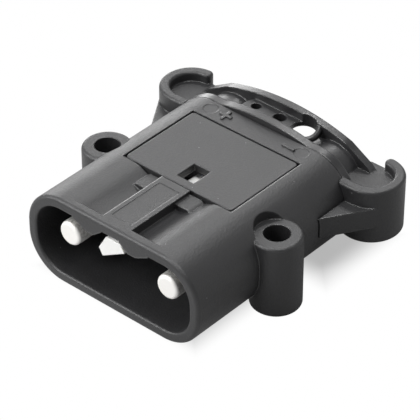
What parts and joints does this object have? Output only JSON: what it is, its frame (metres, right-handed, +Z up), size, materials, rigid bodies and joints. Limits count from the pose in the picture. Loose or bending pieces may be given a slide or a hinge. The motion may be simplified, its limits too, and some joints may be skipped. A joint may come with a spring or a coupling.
{
  "type": "two-pole battery plug",
  "caption": "Moulded two-pole power plug with a rounded keyed socket, turned pins, a half-hexagon coding pin, a snap-in lid, bolt ears and a rear yoke with cable tubes and handle hooks.",
  "frame": {"origin": "midpoint between the two ear-hole axes, on the plane of the base", "axes": "+X towards the negative pin, +Y towards the cable end, +Z up from the base to the lid"},
  "size_m": [0.0734, 0.0686, 0.0257],
  "materials": {
    "shell_plastic": "fine satin mould texture",
    "lid_plastic": "fine satin mould texture",
    "yoke_plastic": "fine satin mould texture",
    "contact_metal": "silver-plated, bright",
    "coding_plastic": "smooth white"
  },
  "bodies": {
    "root": {"shell": "shell_plastic", "lid": "lid_plastic", "contact_positive": "contact_metal", "contact_negative": "contact_metal", "coding_pin": "coding_plastic", "rear_yoke": "yoke_plastic"}
  },
  "joints": []
}
